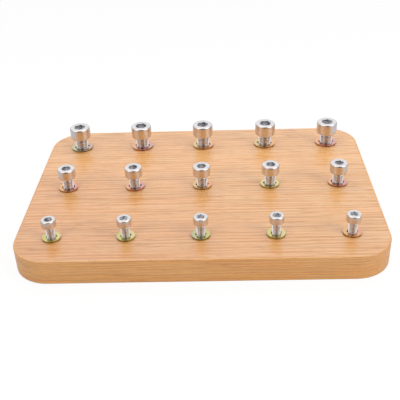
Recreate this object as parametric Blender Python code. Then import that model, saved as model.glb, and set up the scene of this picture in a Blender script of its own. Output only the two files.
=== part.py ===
"""A wooden screw board for hand exercise: an oak-faced board with three rows of
five socket cap screws, M6 in front, M8 in the middle and M10 at the back. Each
screw runs in a flanged threaded insert with a hexagon drive, set in a blind hole.

Metres, +Z up. The origin is the centre of the underside, +X runs along the rows
and +Y from the front row to the back row.
"""

import math
from collections import namedtuple

import bmesh
import bpy
from mathutils import Vector

# Screw pattern and the margins from the outer screws to the board's edges
COLUMN_COUNT = 5
COLUMN_PITCH = 0.050
ROW_PITCH = 0.065
SIDE_MARGIN = 0.025
END_MARGIN = 0.027

# Board: a core faced on both sides, with one strip of edge band all round
CORNER_RADIUS = 0.025
CORE_THICKNESS = 0.016
FACING_THICKNESS = 0.00045
BAND_THICKNESS = 0.001
BAND_EDGE_RADIUS = 0.0005
GLUE_GAP = 0.0003
CORE_FLOOR = 0.00075

# Threaded inserts
HOLE_GAP = 0.0003
INSERT_END_GAP = 0.0023
INSERT_END_CHAMFER = 0.0005
FLANGE_THICKNESS = 0.001
FLANGE_CHAMFER = 0.0003
FLANGE_SEAT_GAP = 0.0003
DRIVE_DEPTH = 0.005
DRIVE_GAP = 0.00035
THREAD_GAP = 0.0003

# Socket cap screws
SCREW_LENGTH = 0.025
TIP_GAP = 0.0003

# M10 screw and its insert
M10_THREAD = 0.010
M10_HEAD_DIAMETER = 0.016
M10_HEAD_HEIGHT = 0.010
M10_HEAD_ROUND = 0.0015
M10_HEAD_UNDER_ROUND = 0.0016
M10_SOCKET_FLATS = 0.008
M10_SOCKET_DEPTH = 0.005
M10_UNDER_HEAD_FILLET = 0.0005
M10_TIP_CHAMFER = 0.0009
M10_INSERT_WALL = 0.0016
M10_FLANGE_RIM = 0.0016

# M8 screw and its insert
M8_THREAD = 0.008
M8_HEAD_DIAMETER = 0.013
M8_HEAD_HEIGHT = 0.008
M8_HEAD_ROUND = 0.0013
M8_HEAD_UNDER_ROUND = 0.0014
M8_SOCKET_FLATS = 0.006
M8_SOCKET_DEPTH = 0.0042
M8_UNDER_HEAD_FILLET = 0.0004
M8_TIP_CHAMFER = 0.00075
M8_INSERT_WALL = 0.0013
M8_FLANGE_RIM = 0.0014

# M6 screw and its insert
M6_THREAD = 0.006
M6_HEAD_DIAMETER = 0.010
M6_HEAD_HEIGHT = 0.006
M6_HEAD_ROUND = 0.0011
M6_HEAD_UNDER_ROUND = 0.0013
M6_SOCKET_FLATS = 0.005
M6_SOCKET_DEPTH = 0.003
M6_UNDER_HEAD_FILLET = 0.0003
M6_TIP_CHAMFER = 0.0006
M6_INSERT_WALL = 0.0012
M6_FLANGE_RIM = 0.00175

# How far a cutter runs past the surface that it opens
CUT_OVERRUN = 0.001
# Points of a turned mesh nearer than this become one
MERGE_DISTANCE = 0.000001

# Facets
CORNER_SEGMENTS = 8
EDGE_SEGMENTS = 2
M10_FACETS = 24
M8_FACETS = 20
M6_FACETS = 16
HEXAGON = 6
SHARP_ANGLE = math.radians(35)
# The drill point under a socket is a cone of 120 degrees
DRILL_POINT_SLOPE = math.tan(math.radians(30))

Fastener = namedtuple(
    "Fastener",
    "name facets thread head_diameter head_height head_round head_under_round "
    "socket_flats socket_depth under_head_fillet tip_chamfer insert_wall flange_rim",
)

M6 = Fastener(
    "m6", M6_FACETS, M6_THREAD, M6_HEAD_DIAMETER, M6_HEAD_HEIGHT, M6_HEAD_ROUND,
    M6_HEAD_UNDER_ROUND, M6_SOCKET_FLATS, M6_SOCKET_DEPTH,
    M6_UNDER_HEAD_FILLET, M6_TIP_CHAMFER, M6_INSERT_WALL, M6_FLANGE_RIM,
)
M8 = Fastener(
    "m8", M8_FACETS, M8_THREAD, M8_HEAD_DIAMETER, M8_HEAD_HEIGHT, M8_HEAD_ROUND,
    M8_HEAD_UNDER_ROUND, M8_SOCKET_FLATS, M8_SOCKET_DEPTH,
    M8_UNDER_HEAD_FILLET, M8_TIP_CHAMFER, M8_INSERT_WALL, M8_FLANGE_RIM,
)
M10 = Fastener(
    "m10", M10_FACETS, M10_THREAD, M10_HEAD_DIAMETER, M10_HEAD_HEIGHT, M10_HEAD_ROUND,
    M10_HEAD_UNDER_ROUND, M10_SOCKET_FLATS, M10_SOCKET_DEPTH,
    M10_UNDER_HEAD_FILLET, M10_TIP_CHAMFER, M10_INSERT_WALL, M10_FLANGE_RIM,
)
ROWS = (M6, M8, M10)

# Sizes that follow from the ones above
BOARD_WIDTH = (COLUMN_COUNT - 1) * COLUMN_PITCH + 2 * SIDE_MARGIN
BOARD_DEPTH = (len(ROWS) - 1) * ROW_PITCH + 2 * END_MARGIN
CORE_BOTTOM = FACING_THICKNESS + GLUE_GAP
CORE_TOP = CORE_BOTTOM + CORE_THICKNESS
TOP_FACING_BOTTOM = CORE_TOP + GLUE_GAP
BOARD_TOP = TOP_FACING_BOTTOM + FACING_THICKNESS
HOLE_FLOOR = CORE_BOTTOM + CORE_FLOOR
FLANGE_BOTTOM = BOARD_TOP + FLANGE_SEAT_GAP
INSERT_BODY_LENGTH = FLANGE_BOTTOM - HOLE_FLOOR - INSERT_END_GAP
HEAD_UNDERSIDE = HOLE_FLOOR + TIP_GAP + SCREW_LENGTH


def bore_radius(size):
    return size.thread / 2 + THREAD_GAP


def insert_radius(size):
    return bore_radius(size) + size.insert_wall


def hole_radius(size):
    return insert_radius(size) + HOLE_GAP


def clear_scene():
    for obj in list(bpy.data.objects):
        bpy.data.objects.remove(obj, do_unlink=True)


def material(name, colour, roughness, metallic):
    made = bpy.data.materials.new(name)
    made.use_nodes = True
    shader = made.node_tree.nodes["Principled BSDF"]
    shader.inputs["Base Color"].default_value = (*colour, 1)
    shader.inputs["Roughness"].default_value = roughness
    shader.inputs["Metallic"].default_value = metallic
    made.diffuse_color = (*colour, 1)
    return made


def finished(bm, name, smooth=False):
    """The mesh of bm, with its faces pointing out."""
    bmesh.ops.recalc_face_normals(bm, faces=bm.faces)
    mesh = bpy.data.meshes.new(name)
    bm.to_mesh(mesh)
    bm.free()
    if smooth:
        shade(mesh)
    return mesh


def shade(mesh):
    mesh.shade_smooth()
    mesh.set_sharp_from_angle(angle=SHARP_ANGLE)


def placed(name, mesh, finish, parent, location=(0, 0, 0)):
    obj = bpy.data.objects.new(name, mesh)
    if not mesh.materials:
        mesh.materials.append(finish)
    bpy.context.scene.collection.objects.link(obj)
    obj.location = location
    obj.parent = parent
    return obj


def helper(name, mesh):
    """A cutter or a blank: it shapes a part and isn't one itself."""
    obj = bpy.data.objects.new(name, mesh)
    bpy.context.scene.collection.objects.link(obj)
    obj.hide_render = True
    obj.display_type = "WIRE"
    return obj


def cut_by(obj, cutter):
    modifier = obj.modifiers.new("cut_by_" + cutter.name, "BOOLEAN")
    modifier.operation = "DIFFERENCE"
    modifier.object = cutter


def cut_mesh(name, mesh, cutter_mesh):
    """The mesh that is left of one mesh when another is cut out of it."""
    blank = helper(name + "_blank", mesh)
    cutter = helper(name + "_cutter", cutter_mesh)
    cut_by(blank, cutter)
    graph = bpy.context.evaluated_depsgraph_get()
    left = bpy.data.meshes.new_from_object(blank.evaluated_get(graph))
    left.name = name
    shade(left)
    bpy.data.objects.remove(blank, do_unlink=True)
    bpy.data.objects.remove(cutter, do_unlink=True)
    return left


def turned(name, outline, facets, closed):
    """A mesh turned about Z from (radius, height) points. A closed outline makes a
    ring, and an open one starts and ends on the axis."""
    bm = bmesh.new()
    points = [bm.verts.new((radius, 0, height)) for radius, height in outline]
    following = points[1:] + points[:1] if closed else points[1:]
    edges = [bm.edges.new(pair) for pair in zip(points, following)]
    bmesh.ops.spin(
        bm, geom=points + edges, cent=(0, 0, 0), axis=(0, 0, 1),
        angle=2 * math.pi, steps=facets, use_merge=True,
    )
    bmesh.ops.remove_doubles(bm, verts=bm.verts, dist=MERGE_DISTANCE)
    return finished(bm, name)


def round_corner(centre, radius, start, end, segments):
    """Points of an arc in a turned outline, from the angle start to end."""
    angles = [start + (end - start) * i / segments for i in range(segments + 1)]
    return [
        (centre[0] + radius * math.cos(a), centre[1] + radius * math.sin(a))
        for a in angles
    ]


def rounded_rectangle(width, depth, radius):
    """The outline of the board, counter-clockwise from the front right corner."""
    outline = []
    for quarter, (side, end) in enumerate(((1, -1), (1, 1), (-1, 1), (-1, -1))):
        centre = Vector((side * (width / 2 - radius), end * (depth / 2 - radius)))
        for i in range(CORNER_SEGMENTS + 1):
            angle = math.pi / 2 * (quarter - 1 + i / CORNER_SEGMENTS)
            outline.append(centre + radius * Vector((math.cos(angle), math.sin(angle))))
    return outline


def inset_outline(inset):
    return rounded_rectangle(
        BOARD_WIDTH - 2 * inset, BOARD_DEPTH - 2 * inset, CORNER_RADIUS - inset
    )


def extruded(bm, outline, bottom, top):
    """Adds a straight prism on the outline."""
    face = bm.faces.new([bm.verts.new((x, y, bottom)) for x, y in outline])
    grown = bmesh.ops.extrude_face_region(bm, geom=[face])["geom"]
    raised = [item for item in grown if isinstance(item, bmesh.types.BMVert)]
    bmesh.ops.translate(bm, verts=raised, vec=(0, 0, top - bottom))


def regular_polygon(radius, sides, centre=(0, 0)):
    turn = 2 * math.pi / sides
    return [
        (
            centre[0] + radius * math.cos(i * turn),
            centre[1] + radius * math.sin(i * turn),
        )
        for i in range(sides)
    ]


def hexagon(flats):
    """A hexagon of that size across its flats, with a corner on +X."""
    return regular_polygon(flats / 2 / math.cos(math.pi / HEXAGON), HEXAGON)


def places():
    """Every screw's size, its number in its row from the left, and its place."""
    for row, size in enumerate(ROWS):
        y = (row - (len(ROWS) - 1) / 2) * ROW_PITCH
        for column in range(COLUMN_COUNT):
            x = (column - (COLUMN_COUNT - 1) / 2) * COLUMN_PITCH
            yield size, column + 1, (x, y)


def panel(name, bottom, top):
    """A flat sheet that fills the edge band."""
    bm = bmesh.new()
    extruded(bm, inset_outline(BAND_THICKNESS + GLUE_GAP), bottom, top)
    return finished(bm, name)


def edge_band():
    """The strip round the board, with its outer edges rounded over."""
    low_round = round_corner(
        (BAND_EDGE_RADIUS, BAND_EDGE_RADIUS), BAND_EDGE_RADIUS,
        -math.pi / 2, -math.pi, EDGE_SEGMENTS,
    )
    section = [(BAND_THICKNESS, 0), *low_round]
    section += [(inset, BOARD_TOP - height) for inset, height in reversed(section)]
    bm = bmesh.new()
    loops = [
        [bm.verts.new((x, y, height)) for x, y in inset_outline(inset)]
        for inset, height in section
    ]
    for loop, other in zip(loops, loops[1:] + loops[:1]):
        for i in range(len(loop)):
            j = (i + 1) % len(loop)
            bm.faces.new((loop[i], loop[j], other[j], other[i]))
    return finished(bm, "edge_band", smooth=True)


def insert_holes():
    """One cutter for all the blind holes, from their floor to above the board."""
    bm = bmesh.new()
    for size, _, centre in places():
        outline = regular_polygon(hole_radius(size), size.facets, centre)
        extruded(bm, outline, HOLE_FLOOR, BOARD_TOP + CUT_OVERRUN)
    return helper("insert_hole_cutter", finished(bm, "insert_hole_cutter"))


def threaded_insert(size):
    """An insert with the underside of its flange at height 0."""
    bore = bore_radius(size)
    body = insert_radius(size)
    flange = body + size.flange_rim
    top = FLANGE_THICKNESS
    bottom = -INSERT_BODY_LENGTH
    outline = [
        (bore, top),
        (flange - FLANGE_CHAMFER, top),
        (flange, top - FLANGE_CHAMFER),
        (flange, 0),
        (body, 0),
        (body, bottom + INSERT_END_CHAMFER),
        (body - INSERT_END_CHAMFER, bottom),
        (bore, bottom),
    ]
    blank = turned(size.name + "_insert_blank", outline, size.facets, closed=True)
    bm = bmesh.new()
    drive = hexagon(size.thread + 2 * DRIVE_GAP)
    extruded(bm, drive, top - DRIVE_DEPTH, top + CUT_OVERRUN)
    return cut_mesh(size.name + "_insert", blank, finished(bm, "drive"))


def socket_cutter(size):
    """A hexagon key's shape on a drill point, opening the top of the head."""
    outline = hexagon(size.socket_flats)
    bottom = size.head_height - size.socket_depth
    bm = bmesh.new()
    extruded(bm, outline, bottom, size.head_height + CUT_OVERRUN)
    bm.faces.ensure_lookup_table()
    floor = min(bm.faces, key=lambda face: face.calc_center_median().z)
    point = bmesh.ops.poke(bm, faces=[floor])["verts"]
    drop = size.socket_flats / 2 * DRILL_POINT_SLOPE
    bmesh.ops.translate(bm, verts=point, vec=(0, 0, -drop))
    return finished(bm, size.name + "_socket")


def cap_screw(size):
    """A screw with the underside of its head at height 0."""
    head = size.head_diameter / 2
    shank = size.thread / 2
    top = size.head_height
    upper_edge = round_corner(
        (head - size.head_round, top - size.head_round), size.head_round,
        math.pi / 2, 0, EDGE_SEGMENTS,
    )
    lower_edge = round_corner(
        (head - size.head_under_round, size.head_under_round), size.head_under_round,
        0, -math.pi / 2, EDGE_SEGMENTS,
    )
    outline = [
        (0, top),
        *upper_edge,
        *lower_edge,
        (shank + size.under_head_fillet, 0),
        (shank, -size.under_head_fillet),
        (shank, size.tip_chamfer - SCREW_LENGTH),
        (shank - size.tip_chamfer, -SCREW_LENGTH),
        (0, -SCREW_LENGTH),
    ]
    blank = turned(size.name + "_screw_blank", outline, size.facets, closed=False)
    return cut_mesh(size.name + "_screw", blank, socket_cutter(size))


def build_board(parent):
    core_finish = material("core_chipboard", (0.62, 0.47, 0.30), 0.85, 0.0)
    oak_finish = material("oak_facing", (0.80, 0.52, 0.29), 0.45, 0.0)
    band_finish = material("oak_edge_band", (0.64, 0.36, 0.15), 0.45, 0.0)
    holes = insert_holes()
    core = placed(
        "core_board", panel("core_board", CORE_BOTTOM, CORE_TOP), core_finish, parent
    )
    top = placed(
        "top_facing", panel("top_facing", TOP_FACING_BOTTOM, BOARD_TOP), oak_finish, parent
    )
    placed("bottom_facing", panel("bottom_facing", 0, FACING_THICKNESS), oak_finish, parent)
    placed("edge_band", edge_band(), band_finish, parent)
    cut_by(core, holes)
    cut_by(top, holes)


def build_fasteners(parent):
    steel = material("stainless_steel", (0.72, 0.71, 0.70), 0.25, 1.0)
    plating = material("yellow_zinc_plating", (0.72, 0.66, 0.35), 0.30, 1.0)
    screws = {size: cap_screw(size) for size in ROWS}
    inserts = {size: threaded_insert(size) for size in ROWS}
    for size, number, (x, y) in places():
        placed(
            f"{size.name}_threaded_insert_{number}", inserts[size], plating, parent,
            (x, y, FLANGE_BOTTOM),
        )
        placed(
            f"{size.name}_cap_screw_{number}", screws[size], steel, parent,
            (x, y, HEAD_UNDERSIDE),
        )


def main():
    clear_scene()
    origin = bpy.data.objects.new("screw_board", None)
    bpy.context.scene.collection.objects.link(origin)
    build_board(origin)
    build_fasteners(origin)


main()
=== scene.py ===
"""The looks of the wooden screw board: an oak veneered board with a bent edge band,
stainless socket cap screws with their threads, and yellow zinc plated inserts.

Metres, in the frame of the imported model: +X along the rows, +Y to the back, +Z up.
"""

import math
from collections import namedtuple

import bmesh
import bpy
from mathutils import Matrix, Vector


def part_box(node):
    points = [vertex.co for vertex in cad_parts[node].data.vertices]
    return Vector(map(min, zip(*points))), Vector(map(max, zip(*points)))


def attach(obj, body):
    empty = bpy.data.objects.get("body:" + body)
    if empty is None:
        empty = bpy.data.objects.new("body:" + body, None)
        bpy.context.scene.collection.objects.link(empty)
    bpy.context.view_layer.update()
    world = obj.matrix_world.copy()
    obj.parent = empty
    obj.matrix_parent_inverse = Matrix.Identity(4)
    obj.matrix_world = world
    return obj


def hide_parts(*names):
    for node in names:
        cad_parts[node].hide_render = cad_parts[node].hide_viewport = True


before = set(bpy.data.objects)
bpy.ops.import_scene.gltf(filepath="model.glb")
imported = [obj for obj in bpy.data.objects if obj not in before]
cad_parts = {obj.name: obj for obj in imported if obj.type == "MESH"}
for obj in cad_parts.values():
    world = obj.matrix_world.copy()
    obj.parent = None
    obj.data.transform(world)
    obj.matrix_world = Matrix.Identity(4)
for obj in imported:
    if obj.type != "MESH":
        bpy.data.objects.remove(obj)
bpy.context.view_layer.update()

# Camera, fitted to the board's edges and to the places of the screws
CAMERA_PLACE = (0.01483, -0.44520, 0.28226)
CAMERA_YAW = math.radians(2.179)
CAMERA_PITCH = math.radians(58.084)
CAMERA_ROLL = math.radians(-2.273)
CAMERA_LENS = 62.64
CAMERA_SENSOR = 36.0

# The world's light on matt surfaces, and the studio that metal and gloss see in it
WORLD_LIGHT = 0.75
GLOSS_LIGHT = 1.45
DOME_DIRECTION = (0, 0.33, 0.94)
GAP_DIRECTION = (0, -0.96, 0.28)
BACKDROP_DIRECTION = (0, 1, 0)

# Softboxes beside the camera. Shine is how bright metal and gloss see them
Softbox = namedtuple("Softbox", "name direction distance size watts shine")
SOFTBOXES = (
    Softbox(
        "softbox_left", direction=(-0.62, -0.56, 0.54), distance=2.4,
        size=1.2, watts=14.5, shine=0.4,
    ),
    Softbox(
        "softbox_right", direction=(0.71, -0.45, 0.54), distance=1.2,
        size=0.6, watts=5.5, shine=0.7,
    ),
)
PANEL_PLACE = (0, 0.11, 0.2)
PANEL_WIDTH = 0.7
PANEL_DEPTH = 0.12
PANEL_WATTS = 0.33

# Floor. It glows by itself, in one measure for the camera and another in reflections
FLOOR_REACH = 3.0
FLOOR_DROP = 0.0002
FLOOR_COLOUR = (0.70, 0.70, 0.71)
GLOW_SEEN, GLOW_MIRRORED = 1.05, 0.56
GLOW_SHARE_SEEN, GLOW_SHARE_MIRRORED = 0.85, 0.5

# Board
CORNER_RADIUS = 0.025
CORNER_SEGMENTS = 24
BAND_THICKNESS = 0.001
BAND_EDGE_RADIUS = 0.0005
BAND_EDGE_SEGMENTS = 4
BAND_SEAM = 0.00008
GLUE_LINE = 0.00004
VENEER_HOLE_CLEARANCE = 0.0003

# Oak
Shades = namedtuple("Shades", "light middle dark pore streak")
VENEER_SHADES = Shades(
    light=(0.80, 0.43, 0.18),
    middle=(0.74, 0.38, 0.13),
    dark=(0.64, 0.295, 0.07),
    pore=(0.48, 0.19, 0.025),
    streak=(1.0, 0.965, 0.90),
)
BAND_SHADES = Shades(
    light=(0.845, 0.41, 0.105),
    middle=(0.795, 0.362, 0.073),
    dark=(0.71, 0.298, 0.05),
    pore=(0.545, 0.212, 0.026),
    streak=(1.0, 0.93, 0.72),
)
VENEER_FINENESS = (1, 1, 1)
BAND_FINENESS = (1.2, 1.7, 1)
RING_PITCHES = (0.0044, 0.0032)
KNOTS = ((-0.084, -0.049),)
KNOT_SHARE = 0.45
PORE_SHARE = 0.45

# The grain's noises: how many features fill a metre along the grain, and across it
SLOW_BENDS = (8, 22)
QUICK_BENDS = (34, 110)
LINES = (12, 720)
FINE_LINES = (45, 1500)
STREAKS = (14, 170)
DASHES = (14, 480)
DASH_FIELDS = (30, 300)
PORES = (110, 2600)
KNOT_SCALES = (260, 480, 0)
SLOW_BEND_REACH = 0.0026
QUICK_BEND_REACH = 0.0007

# How fast the veneer's painted shade changes over a metre to the right, and to the back
PAINTED_SHADE_CHANGE = (2.1, 2.6)

# Fasteners
DRILL_POINT_RADIUS = 0.00015
DRILL_POINT_SLOPE = math.tan(math.radians(30))
THREAD_CLEARANCE = 0.0003
DRIVE_CLEARANCE = 0.00035
DRIVE_DEPTH = 0.005
FLANGE_SEAT_GAP = 0.00002
FLANGE_EDGE_RADIUS = 0.00012
EDGE_SEGMENTS = 7
HEXAGON_SIDES = 6
CUT_OVERRUN = 0.001
MERGE_DISTANCE = 0.0000005
SMOOTH_ANGLE = math.radians(32)

# The plating's colour film: how fast it grows over a metre to the right, and how much
# its thickness is clouded, as a share
FILM_GROWTH = 13.0
FILM_CLOUD = 0.30

# The chamfer at a socket's mouth: its inner edge as a share of the flats' radius, its
# outer edge as a share of the corners' radius, and its fall
MOUTH_INNER_SHARE = 0.98
MOUTH_OUTER_SHARE = 1.09
MOUTH_FALL = 0.6

# Where the finishes change: how far below its mouth a recess's painted shade starts, how
# far out of its corners it reaches, and how far down the neck's fillet the thread's
# finish starts
SOCKET_LIP_SHARE = 0.05
DRIVE_LIP = 0.0003
RECESS_REACH = 1.001
THREAD_FINISH_SHARE = 0.5

# A metric thread's outline over one pitch: how far up the pitch, and how far out of
# the thread's root, as shares
THREAD_DEPTH_SHARE = 0.6134
THREAD_OUTLINE_SHARES = ((0, 1), (0.125, 1), (0.4375, 0.1), (0.5625, 0), (0.6875, 0.1))
THREAD_FADE_TURNS = 1.3
NECK_SHARE = 0.5

# The last four values run from left to right: how far each screw is turned, how far it
# leans to the right and to the back within its clearance, and how far its insert is
# turned, all in degrees, and how thick the plating's colour film is, as a share
Size = namedtuple(
    "Size",
    "name columns thread pitch head_diameter head_height head_round head_under_round "
    "socket_flats socket_depth neck_fillet tip_chamfer insert_wall screw_turns "
    "screw_leans insert_turns film_shares",
)
M6 = Size(
    name="m6",
    columns=40,
    thread=0.006,
    pitch=0.0010,
    head_diameter=0.010,
    head_height=0.006,
    head_round=0.0011,
    head_under_round=0.0013,
    socket_flats=0.005,
    socket_depth=0.003,
    neck_fillet=0.0003,
    tip_chamfer=0.0007,
    insert_wall=0.0012,
    screw_turns=(6, 30, 28, 12, 20),
    screw_leans=((-1.2, 0.6), (-0.7, 0), (0.7, 0.5), (0.3, 0.3), (0.7, 0)),
    insert_turns=(10, 15, 2, 15, 3),
    film_shares=(0.84, 0.84, 0.70, 0.88, 0.13),
)
M8 = Size(
    name="m8",
    columns=48,
    thread=0.008,
    pitch=0.00125,
    head_diameter=0.013,
    head_height=0.008,
    head_round=0.0013,
    head_under_round=0.0014,
    socket_flats=0.006,
    socket_depth=0.0042,
    neck_fillet=0.0004,
    tip_chamfer=0.00088,
    insert_wall=0.0013,
    screw_turns=(10, 20, 5, 0, 12),
    screw_leans=((0.4, 0), (-0.7, 0), (-0.2, -0.8), (1.2, 0), (0.6, 0.4)),
    insert_turns=(5, 5, 8, 0, -5),
    film_shares=(0.18, 0.24, 0.08, 0.96, 0.24),
)
M10 = Size(
    name="m10",
    columns=56,
    thread=0.010,
    pitch=0.0015,
    head_diameter=0.016,
    head_height=0.010,
    head_round=0.0015,
    head_under_round=0.0016,
    socket_flats=0.008,
    socket_depth=0.005,
    neck_fillet=0.0005,
    tip_chamfer=0.00105,
    insert_wall=0.0016,
    screw_turns=(30, 10, 16, 0, 15),
    screw_leans=((-0.3, -0.2), (-0.2, -0.2), (-0.2, -0.4), (1.1, -0.3), (0.4, -0.4)),
    insert_turns=(194, -10, -12, -10, 0),
    film_shares=(0.56, 0.26, 0.07, 0.03, 0.26),
)
ROWS = (M6, M8, M10)


# Meshes


def meshed(bm, name, smooth=True):
    """The mesh of bm, with its faces pointing out."""
    bmesh.ops.recalc_face_normals(bm, faces=bm.faces)
    mesh = bpy.data.meshes.new(name)
    bm.to_mesh(mesh)
    bm.free()
    if smooth:
        shade(mesh)
    return mesh


def shade(mesh):
    """Smooth shading that stops at the sharp edges."""
    mesh.shade_smooth()
    mesh.set_sharp_from_angle(angle=SMOOTH_ANGLE)


def linked(name, data):
    """A new object in the scene."""
    obj = bpy.data.objects.new(name, data)
    bpy.context.scene.collection.objects.link(obj)
    return obj


def dressed(obj, body, slot, *nodes):
    """A piece that rides on a body and stands for CAD nodes."""
    weighted_normals = obj.modifiers.new("flat_faces_stay_flat", "WEIGHTED_NORMAL")
    weighted_normals.keep_sharp = True
    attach(obj, body)
    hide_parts(*nodes)
    return obj


def cut_mesh(name, mesh, cutters):
    """What is left of a mesh when the cutters' meshes are cut out of it."""
    blank = linked(name + "_blank", mesh)
    tools = [linked(name + "_cutter", cutter) for cutter in cutters]
    for tool in tools:
        modifier = blank.modifiers.new("cut", "BOOLEAN")
        modifier.operation = "DIFFERENCE"
        modifier.object = tool
    graph = bpy.context.evaluated_depsgraph_get()
    left = bpy.data.meshes.new_from_object(blank.evaluated_get(graph))
    left.name = name
    for tool in [blank, *tools]:
        bpy.data.objects.remove(tool, do_unlink=True)
    shade(left)
    return left


def arc(centre, radius, start, end, segments):
    """Points of an arc, with its start and end in degrees."""
    angles = [
        math.radians(start + (end - start) * i / segments) for i in range(segments + 1)
    ]
    return [
        (centre[0] + radius * math.cos(a), centre[1] + radius * math.sin(a))
        for a in angles
    ]


def add_point(bm, radius, angle, height):
    return bm.verts.new((radius * math.cos(angle), radius * math.sin(angle), height))


def add_ring(bm, radius, height, columns, turned=0):
    """A ring of points round the axis, turned by a share of a column."""
    angles = [2 * math.pi * (i + turned) / columns for i in range(columns)]
    return [add_point(bm, radius, angle, height) for angle in angles]


def join_rings(bm, lower, upper):
    """A band of faces between two rings of as many points."""
    for i in range(len(lower)):
        j = (i + 1) % len(lower)
        bm.faces.new((lower[i], lower[j], upper[j], upper[i]))


def add_prism(bm, outline, bottom, top):
    """A closed upright prism on an outline."""
    low = [bm.verts.new((x, y, bottom)) for x, y in outline]
    high = [bm.verts.new((x, y, top)) for x, y in outline]
    join_rings(bm, low, high)
    bm.faces.new(low)
    bm.faces.new(high)


def cone_cutter(bottom_radius, bottom, top_radius, top, columns):
    """A closed cone or a part of one, turned by half a column off the rings it cuts."""
    bm = bmesh.new()
    low = add_ring(bm, bottom_radius, bottom, columns, turned=0.5)
    high = add_ring(bm, top_radius, top, columns, turned=0.5)
    join_rings(bm, low, high)
    bm.faces.new(low)
    bm.faces.new(high)
    return meshed(bm, "cone", smooth=False)


def hexagon_corner(flats):
    """The radius of a hexagon's corners, from its size across the flats."""
    return flats / 2 / math.cos(math.pi / HEXAGON_SIDES)


def hexagon(flats):
    """A hexagon of that size across its flats, with a corner on +X."""
    return arc((0, 0), hexagon_corner(flats), 0, 360, HEXAGON_SIDES)[:-1]


# Screws and inserts


def thread_radius(size, share, height, tip, top):
    """The shank's radius at a share out of the thread's root. The thread fades into the
    neck at its top, and the chamfer cuts it off at its tip."""
    depth = THREAD_DEPTH_SHARE * size.pitch
    fade = min(1, max(0, 1 - (top - height) / (THREAD_FADE_TURNS * size.pitch)))
    share = share + (NECK_SHARE - share) * fade
    chamfered = size.thread / 2 - size.tip_chamfer + (height - tip)
    return min(size.thread / 2 - depth * (1 - share), chamfered)


def round_the_axis(point):
    """How far round the axis a point lies, from 0 to a full turn."""
    return math.atan2(point.co.y, point.co.x) % (2 * math.pi)


def add_thread(bm, size, tip, top):
    """Adds a right-hand thread from the tip up to the neck. Gives its top ring."""
    steps = len(THREAD_OUTLINE_SHARES)
    rows = steps * (math.ceil((top - tip) / size.pitch) + 3)
    grid = []
    for row in range(rows):
        turn, step = divmod(row, steps)
        up, out = THREAD_OUTLINE_SHARES[step]
        points = []
        for column in range(size.columns):
            around = column / size.columns
            height = tip + (turn + up + around - 1) * size.pitch
            height = min(max(height, tip), top)
            radius = thread_radius(size, out, height, tip, top)
            points.append(add_point(bm, radius, 2 * math.pi * around, height))
        grid.append(points)
    # Each row climbs one pitch in a turn, so it meets the row one pitch above it
    for row in range(rows - steps - 1):
        for column in range(size.columns):
            left = (grid[row][column], grid[row + 1][column])
            if column + 1 < size.columns:
                right = (grid[row][column + 1], grid[row + 1][column + 1])
            else:
                right = (grid[row + steps][0], grid[row + steps + 1][0])
            bm.faces.new((left[0], right[0], right[1], left[1]))
    # What lies past the two ends has been pressed flat onto them, and merges there
    loose = [point for point in bm.verts if not point.link_faces]
    bmesh.ops.delete(bm, geom=loose, context="VERTS")
    bmesh.ops.remove_doubles(bm, verts=bm.verts, dist=MERGE_DISTANCE)
    open_edges = [edge for edge in bm.edges if edge.is_boundary]
    rims = {True: set(), False: set()}
    for edge in open_edges:
        for point in edge.verts:
            rims[point.co.z > (tip + top) / 2].add(point)
    low, high = (sorted(rims[side], key=round_the_axis) for side in (False, True))
    bm.faces.new(low)
    return high


def screw_blank(size, tip):
    """A screw without its socket, with the underside of its head at height 0."""
    bm = bmesh.new()
    neck = size.thread / 2 - THREAD_DEPTH_SHARE * size.pitch * (1 - NECK_SHARE)
    ring = add_thread(bm, size, tip, -size.neck_fillet)
    head = size.head_diameter / 2
    under, over = size.head_under_round, size.head_round
    fillet = size.neck_fillet
    outline = [
        *arc((neck + fillet, -fillet), fillet, 180, 90, EDGE_SEGMENTS)[1:],
        *arc((head - under, under), under, -90, 0, EDGE_SEGMENTS),
        *arc((head - over, size.head_height - over), over, 0, 90, EDGE_SEGMENTS),
    ]
    for radius, height in outline:
        following = add_ring(bm, radius, height, size.columns)
        join_rings(bm, ring, following)
        ring = following
    bm.faces.new(ring)
    return meshed(bm, size.name + "_screw_blank")


def socket_cutters(size):
    """A hexagon, the cone of a drill's point below it, and a chamfer at its mouth."""
    bm = bmesh.new()
    floor = size.head_height - size.socket_depth
    add_prism(bm, hexagon(size.socket_flats), floor, size.head_height + CUT_OVERRUN)
    wide = size.socket_flats / 2 - DRILL_POINT_RADIUS
    drop = (wide - DRILL_POINT_RADIUS) * DRILL_POINT_SLOPE
    rise = DRILL_POINT_RADIUS / 2
    return [
        meshed(bm, "socket", smooth=False),
        cone_cutter(
            DRILL_POINT_RADIUS, floor - drop,
            wide + rise / DRILL_POINT_SLOPE, floor + rise,
            size.columns,
        ),
        mouth_chamfer(size.socket_flats, size.head_height, size.columns),
    ]


def mouth_chamfer(flats, mouth, columns):
    """A shallow cone that breaks the corners at a hexagon's mouth."""
    inner = flats / 2 * MOUTH_INNER_SHARE
    outer = hexagon_corner(flats) * MOUTH_OUTER_SHARE
    depth = (outer - inner) * MOUTH_FALL
    rise = depth + CUT_OVERRUN
    return cone_cutter(
        inner, mouth - depth,
        inner + (outer - inner) * rise / depth, mouth + CUT_OVERRUN,
        columns,
    )


def shade_recess(mesh, finish, recess_shade_finish, flats, bottom, lip):
    """Gives what lies inside a hexagon, between two heights, a darker finish of its own
    that paints the shade there.
    """
    mesh.materials.clear()
    mesh.materials.append(finish)
    mesh.materials.append(recess_shade_finish)
    reach = hexagon_corner(flats) * RECESS_REACH
    for face in mesh.polygons:
        x, y, z = face.center
        inside = math.hypot(x, y) < reach and bottom < z < lip
        face.material_index = 1 if inside else 0


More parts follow.
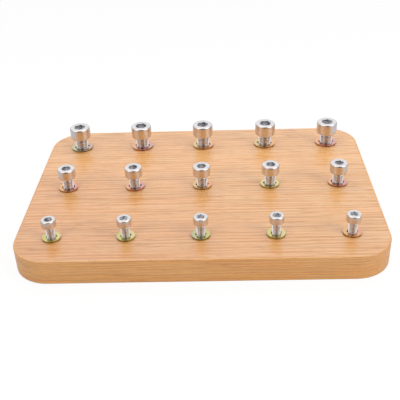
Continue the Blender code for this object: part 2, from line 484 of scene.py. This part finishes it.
def screw_mesh(size, tip, finish, socket_shade_finish, thread_finish):
    """A screw with the underside of its head at height 0, in three finishes, one of them
    the painted shade in its socket.
    """
    mesh = cut_mesh(size.name + "_screw", screw_blank(size, tip), socket_cutters(size))
    lip = size.head_height - size.socket_depth * SOCKET_LIP_SHARE
    floor = size.head_height - size.socket_depth
    shade_recess(mesh, finish, socket_shade_finish, size.socket_flats, floor, lip)
    mesh.materials.append(thread_finish)
    for face in mesh.polygons:
        if face.center.z < -size.neck_fillet * THREAD_FINISH_SHARE:
            face.material_index = 2
    return mesh


def bore_radius(size):
    return size.thread / 2 + THREAD_CLEARANCE


def insert_radius(size):
    """The radius of an insert's body, below its flange."""
    return bore_radius(size) + size.insert_wall


def drive_flats(size):
    """The size across the flats of an insert's recess."""
    return size.thread + 2 * DRIVE_CLEARANCE


def insert_mesh(size, flange, top, seat, bottom):
    """An insert in the frame's own heights, with its axis at the origin."""
    body = insert_radius(size)
    edge = FLANGE_EDGE_RADIUS
    outline = [
        *arc((flange - edge, top - edge), edge, 90, 0, EDGE_SEGMENTS),
        *arc((flange - edge, seat + edge), edge, 0, -90, EDGE_SEGMENTS),
        (body, seat),
        (body, bottom),
    ]
    bm = bmesh.new()
    rings = [add_ring(bm, radius, height, size.columns) for radius, height in outline]
    for ring, following in zip(rings, rings[1:]):
        join_rings(bm, ring, following)
    bm.faces.new(rings[0])
    bm.faces.new(rings[-1])
    recess_floor = top - DRIVE_DEPTH
    drive, hole = bmesh.new(), bmesh.new()
    add_prism(drive, hexagon(drive_flats(size)), recess_floor, top + CUT_OVERRUN)
    round_hole = arc((0, 0), bore_radius(size), 0, 360, size.columns)[:-1]
    add_prism(hole, round_hole, bottom - CUT_OVERRUN, recess_floor + CUT_OVERRUN)
    cutters = [
        meshed(drive, "drive", smooth=False),
        meshed(hole, "hole", smooth=False),
    ]
    return cut_mesh(size.name + "_insert", meshed(bm, "insert_blank"), cutters)


# Board


def corner_arc(side, end, width, depth, inset):
    """One rounded corner of the board's outline, counter-clockwise from above."""
    radius = CORNER_RADIUS - inset
    centre = (side * (width / 2 - CORNER_RADIUS), end * (depth / 2 - CORNER_RADIUS))
    start = {(1, -1): -90, (1, 1): 0, (-1, 1): 90, (-1, -1): 180}[(side, end)]
    return arc(centre, radius, start, start + 90, CORNER_SEGMENTS)


def round_corners(corners, width, depth, inset):
    return [
        point for corner in corners for point in corner_arc(*corner, width, depth, inset)
    ]


def board_outline(width, depth, inset):
    return round_corners(((1, -1), (1, 1), (-1, 1), (-1, -1)), width, depth, inset)


def band_path(width, depth, inset):
    """Round the board from the seam in the middle of the back to the seam again."""
    path = round_corners(((-1, 1), (-1, -1), (1, -1), (1, 1)), width, depth, inset)
    back = depth / 2 - inset
    return [(-BAND_SEAM / 2, back), *path, (BAND_SEAM / 2, back)]


def band_mesh(width, depth, top):
    """The edge band as one bent strip. Its grain follows the way round the board."""
    radius = BAND_EDGE_RADIUS
    low = arc((radius, radius), radius, -90, -180, BAND_EDGE_SEGMENTS)
    section = [(BAND_THICKNESS, 0), *low]
    section += [(inset, top - height) for inset, height in reversed(section)]
    way = [0]
    outer = band_path(width, depth, 0)
    for (x, y), (next_x, next_y) in zip(outer, outer[1:]):
        way.append(way[-1] + math.hypot(next_x - x, next_y - y))
    bm = bmesh.new()
    grain = bm.verts.layers.float_vector.new("grain_place")
    rows = []
    for inset, height in section:
        row = []
        for (x, y), along in zip(band_path(width, depth, inset), way):
            point = bm.verts.new((x, y, height))
            point[grain] = (along, height - inset, 0)
            row.append(point)
        rows.append(row)
    for row, other in zip(rows, rows[1:] + rows[:1]):
        for i in range(len(row) - 1):
            bm.faces.new((row[i], row[i + 1], other[i + 1], other[i]))
    for end in (0, -1):
        bm.faces.new([row[end] for row in rows])
    return meshed(bm, "edge_band")


def veneer_mesh(name, width, depth, bottom, top, holes):
    """A sheet of veneer inside the edge band, with a round hole for each insert."""
    bm = bmesh.new()
    add_prism(bm, board_outline(width, depth, BAND_THICKNESS + GLUE_LINE), bottom, top)
    sheet = meshed(bm, name, smooth=False)
    if not holes:
        return sheet
    bm = bmesh.new()
    for (x, y), radius, columns in holes:
        outline = arc((x, y), radius, 0, 360, columns)[:-1]
        add_prism(bm, outline, bottom - CUT_OVERRUN, top + CUT_OVERRUN)
    return cut_mesh(name, sheet, [meshed(bm, "holes", smooth=False)])


# Shader nodes


def new_material(name):
    """A new material, with its node tree and its shader."""
    made = bpy.data.materials.new(name)
    made.use_nodes = True
    return made, made.node_tree, made.node_tree.nodes["Principled BSDF"]


def feed(tree, fed, inputs):
    """Sets a node's inputs to values, or links them to other nodes' outputs."""
    for name, value in inputs.items():
        if isinstance(value, bpy.types.NodeSocket):
            tree.links.new(value, fed.inputs[name])
        else:
            fed.inputs[name].default_value = value


def node(tree, kind, inputs, **settings):
    """A new shader node, with its settings and its inputs."""
    made = tree.nodes.new("ShaderNode" + kind)
    for name, value in settings.items():
        setattr(made, name, value)
    feed(tree, made, inputs)
    return made


def math_node(tree, operation, first, second):
    return node(tree, "Math", {0: first, 1: second}, operation=operation).outputs[0]


def vector_math(tree, operation, first, second):
    made = node(tree, "VectorMath", {0: first, 1: second}, operation=operation)
    return made.outputs["Vector"]


def parts_of(tree, vector):
    return node(tree, "SeparateXYZ", {"Vector": vector}).outputs


def ramp(tree, value, stops):
    made = node(tree, "ValToRGB", {"Fac": value})
    elements = made.color_ramp.elements
    while len(elements) < len(stops):
        elements.new(0.5)
    for element, (position, colour) in zip(elements, stops):
        element.position = position
        element.color = (*colour, 1)
    return made.outputs["Color"]


def grey_ramp(tree, value, stops):
    return ramp(tree, value, [(position, (level,) * 3) for position, level in stops])


def mixed(tree, share, first, second, blend="MIX"):
    """Two colours mixed, each an output or three values."""
    first, second = (
        colour if isinstance(colour, bpy.types.NodeSocket) else (*colour, 1)
        for colour in (first, second)
    )
    inputs = {0: share, 6: first, 7: second}
    return node(tree, "Mix", inputs, data_type="RGBA", blend_type=blend).outputs[2]


def multiplied(tree, first, second):
    return mixed(tree, 1.0, first, second, "MULTIPLY")


def weighted(tree, *layers):
    """The sum of grey layers, each given with its weight."""
    total = 0.0
    for layer, weight in layers:
        added = math_node(tree, "MULTIPLY_ADD", layer, weight)
        feed(tree, added.node, {2: total})
        total = added
    return total


def cloud(tree, place, scale, detail):
    """Noise that is alike in every direction."""
    inputs = {"Vector": place, "Scale": scale, "Detail": detail}
    return node(tree, "TexNoise", inputs).outputs["Fac"]


def noise(tree, place, scales, detail=2.0):
    """Noise whose features are one over scales long, along and across the grain."""
    inputs = {
        "Vector": vector_math(tree, "MULTIPLY", place, (*scales, 1)),
        "Scale": 1.0,
        "Detail": detail,
        "Roughness": 0.5,
    }
    return node(tree, "TexNoise", inputs, noise_dimensions="2D").outputs["Fac"]


def upright_of(tree):
    """How much the surface faces up or down, from 0 to 1."""
    normal = node(tree, "TexCoord", {}).outputs["Normal"]
    return math_node(tree, "ABSOLUTE", parts_of(tree, normal)["Z"], 0.0)


def own_place(tree):
    """The place in the piece's own axes. On a flat sheet the grain runs along its X."""
    return node(tree, "TexCoord", {}).outputs["Object"]


def band_place(tree):
    """The grain's place on the edge band: the way round the board, and the height."""
    return node(tree, "Attribute", {}, attribute_name="grain_place").outputs["Vector"]


# Materials


def waved(tree, place):
    """The place with its across value bent to and fro, as long grain lines are."""
    parts = parts_of(tree, place)
    slow = math_node(tree, "SUBTRACT", noise(tree, place, SLOW_BENDS), 0.5)
    quick = math_node(tree, "SUBTRACT", noise(tree, place, QUICK_BENDS), 0.5)
    bends = (slow, SLOW_BEND_REACH), (quick, QUICK_BEND_REACH)
    bent = weighted(tree, *bends, (parts["Y"], 1.0))
    return node(tree, "CombineXYZ", {"X": parts["X"], "Y": bent}).outputs["Vector"]


def growth(tree, place, pitch):
    """Growth rings: a wave across the grain, from -1 to 1, that wanders and comes and
    goes."""
    across = parts_of(tree, place)["Y"]
    # By up to 0.9 of a ring, over about three rings
    wander = noise(tree, place, (9, 0.35 / pitch), 1.0)
    turns = weighted(tree, (across, 2 * math.pi / pitch), (wander, 2 * math.pi * 0.9))
    wave = math_node(tree, "SINE", turns, 0.0)
    # Over about four rings
    coming = noise(tree, place, (14, 0.25 / pitch), 1.0)
    strength = grey_ramp(tree, coming, [(0.36, 0.2), (0.6, 1.0)])
    return math_node(tree, "MULTIPLY", wave, strength)


def dashes(tree, place):
    """Short thin lines where a noise passes through its middle, in some fields only."""
    off = math_node(tree, "SUBTRACT", noise(tree, place, DASHES, 1.0), 0.5)
    off = math_node(tree, "ABSOLUTE", off, 0.0)
    ridges = grey_ramp(tree, off, [(0.0, 1.0), (0.05, 0.0)])
    fields = noise(tree, place, DASH_FIELDS, 1.0)
    strength = grey_ramp(tree, fields, [(0.42, 0.05), (0.60, 0.80)])
    return math_node(tree, "MULTIPLY", ridges, strength)


def knots(tree, place, centres):
    """Small round spots, drawn out along the grain."""
    total = 0.0
    for x, y in centres:
        off = vector_math(tree, "SUBTRACT", place, (x, y, 0))
        off = vector_math(tree, "MULTIPLY", off, KNOT_SCALES)
        reach = node(tree, "VectorMath", {0: off}, operation="LENGTH").outputs["Value"]
        spot = grey_ramp(tree, reach, [(0.2, 1.0), (1.0, 0.0)])
        total = math_node(tree, "ADD", spot, total)
    return total


def painted_front_left_shade(tree, place):
    """Painted shade on a sheet of veneer: darker and more orange towards its front left
    corner.
    """
    parts = parts_of(tree, place)
    to_right = math_node(tree, "MULTIPLY", parts["X"], PAINTED_SHADE_CHANGE[0])
    to_back = math_node(tree, "MULTIPLY", parts["Y"], PAINTED_SHADE_CHANGE[1])
    share = math_node(tree, "ADD", math_node(tree, "ADD", to_right, to_back), 0.5)
    stops = [
        (0.15, (0.985, 0.915, 0.865)),
        (0.35, (0.995, 0.955, 0.925)),
        (0.52, (1.0, 0.99, 0.98)),
        (0.75, (1.0, 1.0, 1.0)),
    ]
    return ramp(tree, share, stops)


def oak(name, place_of, fineness, shades, knot_centres=(), painted_shade_of=None):
    """Oak with long grain lines, short darker dashes and fine dark pores."""
    made, tree, shader = new_material(name)
    flat = vector_math(tree, "MULTIPLY", place_of(tree), fineness)
    place = waved(tree, flat)
    wide, narrow = (growth(tree, place, pitch) for pitch in RING_PITCHES)
    lines = noise(tree, place, LINES, 0.0)
    fine = noise(tree, place, FINE_LINES, 1.0)
    figure = weighted(tree, (wide, 0.065), (narrow, 0.11), (lines, 0.28), (fine, 0.22))
    stops = [(0.135, shades.dark), (0.225, shades.middle), (0.305, shades.light)]
    colour = ramp(tree, figure, stops)
    broad = noise(tree, place, STREAKS, 1.0)
    tone = ramp(tree, broad, [(0.35, (0.98, 1.0, 1.0)), (0.65, shades.streak)])
    colour = multiplied(tree, colour, tone)
    colour = mixed(tree, dashes(tree, place), colour, shades.pore)
    porous = grey_ramp(tree, noise(tree, place, PORES, 1.0), [(0.30, 1.0), (0.40, 0.0)])
    share = math_node(tree, "MULTIPLY", porous, PORE_SHARE)
    colour = mixed(tree, share, colour, shades.pore)
    if knot_centres:
        share = math_node(tree, "MULTIPLY", knots(tree, flat, knot_centres), KNOT_SHARE)
        colour = mixed(tree, share, colour, shades.pore)
    # Painted shade across the sheet, where one is given
    if painted_shade_of:
        colour = multiplied(tree, colour, painted_shade_of(tree, flat))
    # Painted shade: a little darker along the rounded edges
    stops = [(0.05, 1.0), (0.3, 0.78), (0.85, 0.85), (0.98, 1.0)]
    colour = multiplied(tree, colour, grey_ramp(tree, upright_of(tree), stops))
    height = math_node(tree, "SUBTRACT", lines, porous)
    bump = node(tree, "Bump", {"Strength": 0.18, "Distance": 0.00008, "Height": height})
    inputs = {
        "Base Color": colour,
        "Roughness": grey_ramp(tree, lines, [(0.3, 0.32), (0.7, 0.25)]),
        "IOR": 1.66,
        "Specular IOR Level": 1.0,
        "Specular Tint": (0.30, 0.66, 0.95, 1),
        "Normal": bump.outputs["Normal"],
    }
    feed(tree, shader, inputs)
    return made


def chipboard():
    """Raw chipboard: pressed chips of several browns."""
    made, tree, shader = new_material("chipboard")
    chips = node(tree, "TexVoronoi", {"Vector": own_place(tree), "Scale": 700.0})
    hue = node(tree, "SeparateColor", {"Color": chips.outputs["Color"]}).outputs[0]
    stops = [
        (0.0, (0.42, 0.27, 0.14)),
        (0.5, (0.60, 0.43, 0.25)),
        (1.0, (0.72, 0.56, 0.36)),
    ]
    feed(tree, shader, {"Base Color": ramp(tree, hue, stops), "Roughness": 0.9})
    return made


def steel(name, low, high, rough_low, rough_high):
    """Cold-formed stainless steel with fine marks and faint patches."""
    made, tree, shader = new_material(name)
    place = own_place(tree)
    fine = cloud(tree, place, 900.0, 3.0)
    patches = cloud(tree, place, 160.0, 2.0)
    bump = node(tree, "Bump", {"Strength": 0.05, "Distance": 0.00002, "Height": fine})
    inputs = {
        "Base Color": ramp(tree, patches, [(0.3, low), (0.7, high)]),
        "Roughness": grey_ramp(tree, fine, [(0.3, rough_low), (0.7, rough_high)]),
        "Metallic": 1.0,
        "Normal": bump.outputs["Normal"],
    }
    feed(tree, shader, inputs)
    return made


def yellow_zinc(name, film_share):
    """Yellow chromated zinc: its colour runs through a rainbow with the film."""
    made, tree, shader = new_material(name)
    place = own_place(tree)
    slope = math_node(tree, "MULTIPLY", parts_of(tree, place)["X"], FILM_GROWTH)
    clouds = math_node(tree, "MULTIPLY", cloud(tree, place, 120.0, 2.0), FILM_CLOUD)
    film = math_node(tree, "ADD", clouds, slope)
    film = math_node(tree, "ADD", film, film_share - FILM_CLOUD / 2)
    rainbow = [
        (0.00, (0.68, 0.49, 0.23)),
        (0.14, (0.77, 0.42, 0.21)),
        (0.30, (0.69, 0.33, 0.30)),
        (0.44, (0.57, 0.38, 0.33)),
        (0.60, (0.47, 0.47, 0.32)),
        (0.78, (0.57, 0.54, 0.21)),
        (0.92, (0.69, 0.58, 0.27)),
    ]
    # Painted shade: the flange's upright rim is darker than its flat top
    edge = grey_ramp(tree, upright_of(tree), [(0.1, 0.5), (0.9, 1.0)])
    colour = multiplied(tree, ramp(tree, film, rainbow), edge)
    feed(tree, shader, {"Base Color": colour, "Metallic": 1.0, "Roughness": 0.24})
    return made


# Pieces


def screw_spots():
    """Every screw's size, its number in its row and its axis's place."""
    spots = []
    for size in ROWS:
        for number in range(1, len(size.screw_turns) + 1):
            low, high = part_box(f"{size.name}_cap_screw_{number}")
            centre = (low + high) / 2
            spots.append((size, number, (centre.x, centre.y)))
    return spots


def build_board(spots):
    """The two sheets of veneer, the edge band, and a finish for the core."""
    low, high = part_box("edge_band")
    width, depth, top = high.x - low.x, high.y - low.y, high.z
    holes = [
        (centre, insert_radius(size) + VENEER_HOLE_CLEARANCE, size.columns)
        for size, _, centre in spots
    ]
    top_low, top_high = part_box("top_facing")
    bottom_low, bottom_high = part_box("bottom_facing")
    sheet = veneer_mesh("veneer_top", width, depth, top_low.z, top_high.z, holes)
    other = veneer_mesh("veneer_underside", width, depth, bottom_low.z, bottom_high.z, [])
    band = band_mesh(width, depth, top)
    # The knot and the painted shade at the front left corner are the top sheet's alone
    sheet_finish = oak(
        "oak_veneer", own_place, VENEER_FINENESS, VENEER_SHADES, KNOTS, painted_front_left_shade
    )
    other_finish = oak(
        "oak_veneer_underside", own_place, VENEER_FINENESS, VENEER_SHADES
    )
    band_finish = oak("oak_edge_band", band_place, BAND_FINENESS, BAND_SHADES)
    for name, mesh, finish, slot, replaced in (
        ("veneer_top", sheet, sheet_finish, "facing", "top_facing"),
        ("veneer_underside", other, other_finish, "facing", "bottom_facing"),
        ("oak_band", band, band_finish, "edge_band", "edge_band"),
    ):
        mesh.materials.clear()
        mesh.materials.append(finish)
        dressed(linked(name, mesh), "board", slot, replaced)
    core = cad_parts["core_board"]
    core.data.materials.clear()
    core.data.materials.append(chipboard())


def build_screws(spots):
    """The screws, each turned and leaning as in the photograph."""
    bright = steel("stainless_steel", (0.66, 0.62, 0.61), (0.74, 0.70, 0.69), 0.17, 0.25)
    # Painted shade: the socket's steel is darker and bluer than the head's, for the shade
    # inside it
    socket_shade = steel("shaded_socket_steel", (0.52, 0.535, 0.565), (0.62, 0.635, 0.665), 0.16, 0.22)
    rolled = steel("thread_steel", (0.70, 0.66, 0.65), (0.78, 0.74, 0.73), 0.28, 0.38)
    board_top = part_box("top_facing")[1].z
    meshes = {}
    for size, number, (x, y) in spots:
        node_name = f"{size.name}_cap_screw_{number}"
        low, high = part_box(node_name)
        underside = high.z - size.head_height
        if size not in meshes:
            meshes[size] = screw_mesh(size, low.z - underside, bright, socket_shade, rolled)
        obj = linked(f"screw_{size.name}_{number}", meshes[size])
        turn = math.radians(size.screw_turns[number - 1])
        right, back = (math.radians(angle) for angle in size.screw_leans[number - 1])
        # It leans about the middle of what stands in its insert
        pivot = (low.z + board_top) / 2
        leaning = Matrix.Rotation(right, 4, "Y") @ Matrix.Rotation(-back, 4, "X")
        turning = Matrix.Rotation(turn, 4, "Z")
        # As far down as its lean lifts the corners of the box round its head
        across, along = (leaning @ turning)[2][:2]
        drop = size.head_diameter / 2 * (abs(across) + abs(along))
        obj.matrix_world = (
            Matrix.Translation((x, y, pivot - drop))
            @ leaning
            @ Matrix.Translation((0, 0, underside - pivot))
            @ turning
        )
        dressed(obj, f"{size.name}_screw_{number}", "screw", node_name)


def build_inserts(spots):
    """The inserts, each turned and coloured as in the photograph."""
    # Painted shade: near-black steel inside each insert's hexagon recess, where it lies
    # in shade
    recess = steel("recess_painted_shade", (0.02, 0.016, 0.012), (0.05, 0.04, 0.03), 0.55, 0.70)
    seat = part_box("top_facing")[1].z + FLANGE_SEAT_GAP
    blanks = {}
    for size, number, (x, y) in spots:
        node_name = f"{size.name}_threaded_insert_{number}"
        low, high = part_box(node_name)
        if size not in blanks:
            blanks[size] = insert_mesh(size, (high.x - low.x) / 2, high.z, seat, low.z)
        # Each has a mesh of its own, because its film's colour is its own
        mesh = blanks[size].copy()
        film_share = size.film_shares[number - 1]
        finish = yellow_zinc(f"yellow_zinc_{size.name}_{number}", film_share)
        shade_recess(mesh, finish, recess, drive_flats(size), low.z, high.z - DRIVE_LIP)
        obj = linked(f"insert_{size.name}_{number}", mesh)
        turn = math.radians(size.insert_turns[number - 1])
        obj.matrix_world = Matrix.Translation((x, y, 0)) @ Matrix.Rotation(turn, 4, "Z")
        dressed(obj, "board", "insert", node_name)


# Studio


def build_floor():
    """A pale floor. To the camera it is white but for a faint shadow, and in metal a
    soft light grey."""
    bm = bmesh.new()
    bmesh.ops.create_grid(bm, x_segments=1, y_segments=1, size=FLOOR_REACH)
    floor = linked("floor", meshed(bm, "floor", smooth=False))
    floor.location.z = -FLOOR_DROP
    made, tree, shader = new_material("white_floor")
    feed(tree, shader, {"Base Color": (*FLOOR_COLOUR, 1), "Roughness": 0.9})
    path = node(tree, "LightPath", {}).outputs
    seen, mirrored = path["Is Camera Ray"], path["Is Glossy Ray"]
    glare = weighted(tree, (seen, GLOW_SEEN), (mirrored, GLOW_MIRRORED))
    glow = node(tree, "Emission", {"Color": (1, 1, 1, 1), "Strength": glare}).outputs[0]
    share = weighted(tree, (seen, GLOW_SHARE_SEEN), (mirrored, GLOW_SHARE_MIRRORED))
    surface = node(tree, "MixShader", {0: share, 1: shader.outputs[0], 2: glow})
    feed(tree, tree.nodes["Material Output"], {"Surface": surface.outputs[0]})
    floor.data.materials.append(made)


def dome(tree, direction, towards, stops):
    """Light that fades away from one direction."""
    inputs = {0: direction, 1: towards}
    nearness = node(tree, "VectorMath", inputs, operation="DOT_PRODUCT").outputs["Value"]
    return grey_ramp(tree, nearness, stops)


def build_world():
    """White to the camera, and otherwise a pale dome that is dimmer at the front. Metal
    and gloss see it brightest high up, with a pale backdrop behind, a dark gap round
    the camera and a softbox on either side of it."""
    world = bpy.data.worlds.new("studio")
    world.use_nodes = True
    tree = world.node_tree
    direction = node(tree, "TexCoord", {}).outputs["Generated"]
    height = parts_of(tree, direction)["Z"]
    soft = dome(tree, direction, DOME_DIRECTION, [(0.02, 0.15), (0.35, 1.0)])
    gap = dome(tree, direction, GAP_DIRECTION, [(0.66, 1.0), (0.82, 0.10)])
    behind = dome(tree, direction, BACKDROP_DIRECTION, [(0.55, 0.0), (0.8, 1.0)])
    # The studio's colours from the floor up, in front and at the backdrop
    front = [
        (0.0, (0.07, 0.08, 0.09)),
        (0.12, (0.20, 0.22, 0.24)),
        (0.3, (0.64, 0.67, 0.69)),
    ]
    backdrop = [(0.0, (0.66, 0.67, 0.68)), (0.3, (0.75, 0.76, 0.78))]
    above = [
        (0.48, (0.82, 0.84, 0.86)),
        (0.66, (0.68, 0.69, 0.70)),
        (0.88, (1.0, 0.99, 0.97)),
        (1.0, (0.92, 0.90, 0.87)),
    ]
    front, backdrop = (ramp(tree, height, [*low, *above]) for low in (front, backdrop))
    studio = multiplied(tree, gap, mixed(tree, behind, front, backdrop))
    for box in SOFTBOXES:
        shine = dome(tree, direction, box.direction, [(0.87, 0.0), (0.93, box.shine)])
        studio = mixed(tree, 1.0, studio, shine, "ADD")
    path = node(tree, "LightPath", {}).outputs
    light = {"Color": soft, "Strength": WORLD_LIGHT}
    surface = node(tree, "Background", light).outputs[0]
    for seen_by, colour, strength in (
        ("Is Glossy Ray", studio, GLOSS_LIGHT),
        ("Is Camera Ray", (1, 1, 1, 1), 1.0),
    ):
        light = node(tree, "Background", {"Color": colour, "Strength": strength})
        inputs = {0: path[seen_by], 1: surface, 2: light.outputs[0]}
        surface = node(tree, "MixShader", inputs).outputs[0]
    feed(tree, tree.nodes["World Output"], {"Surface": surface})
    bpy.context.scene.world = world


def add_lamp(name, place, width, depth, watts):
    """A lit rectangle that points at the board and shows in nothing."""
    data = bpy.data.lights.new(name, "AREA")
    data.shape = "RECTANGLE"
    data.size, data.size_y = width, depth
    data.energy = watts
    lamp = linked(name, data)
    lamp.location = place
    lamp.rotation_euler = (-lamp.location).to_track_quat("-Z", "Y").to_euler()
    lamp.visible_camera = lamp.visible_glossy = False


def build_lights():
    for box in SOFTBOXES:
        place = Vector(box.direction) * box.distance
        add_lamp(box.name, place, box.size, box.size, box.watts)
    add_lamp("panel_above", PANEL_PLACE, PANEL_WIDTH, PANEL_DEPTH, PANEL_WATTS)


def build_camera():
    data = bpy.data.cameras.new("camera")
    data.lens = CAMERA_LENS
    data.sensor_width = CAMERA_SENSOR
    camera = linked("camera", data)
    camera.matrix_world = (
        Matrix.Translation(CAMERA_PLACE)
        @ Matrix.Rotation(CAMERA_YAW, 4, "Z")
        @ Matrix.Rotation(CAMERA_PITCH, 4, "X")
        @ Matrix.Rotation(CAMERA_ROLL, 4, "Z")
    )
    bpy.context.scene.camera = camera


spots = screw_spots()
build_board(spots)
build_screws(spots)
build_inserts(spots)
build_floor()
build_world()
build_lights()
build_camera()
bpy.context.scene.view_settings.view_transform = "Standard"
